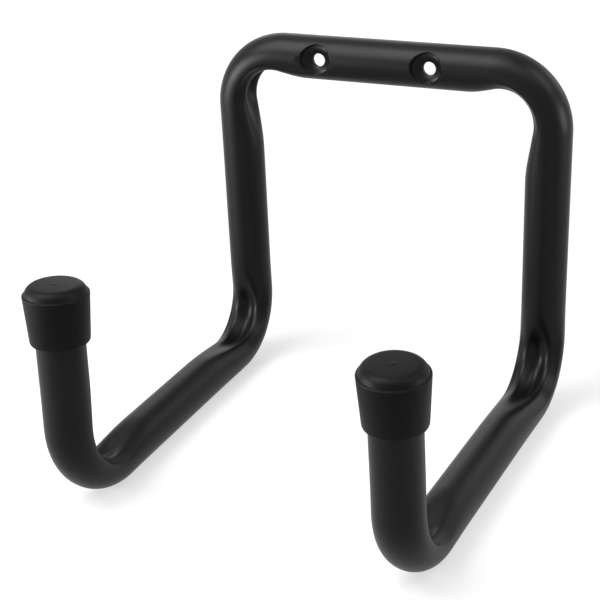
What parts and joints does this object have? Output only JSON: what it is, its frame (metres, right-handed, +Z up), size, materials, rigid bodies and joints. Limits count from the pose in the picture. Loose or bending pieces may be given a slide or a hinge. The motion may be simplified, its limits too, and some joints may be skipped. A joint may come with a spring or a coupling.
{
  "type": "utility hook",
  "caption": "Double wall hook bent from one round tube: an upright frame with dimpled screw holes, arms that reach forwards and upturned tips with rubber caps.",
  "frame": {"origin": "middle of the base of the object's box: midway between the arms, midway from front to back, on the plane under the arms", "axes": "+Z up, +Y towards the wall that the hook is screwed to, +X to the right for someone facing the wall"},
  "size_m": [0.1726, 0.1946, 0.1665],
  "materials": {
    "powder_coat": "satin black powder coat with a very fine grain",
    "cap_rubber": "matt moulded black rubber"
  },
  "bodies": {
    "root": {"bent_tube": "powder_coat", "cap_left": "cap_rubber", "cap_right": "cap_rubber"}
  },
  "joints": []
}
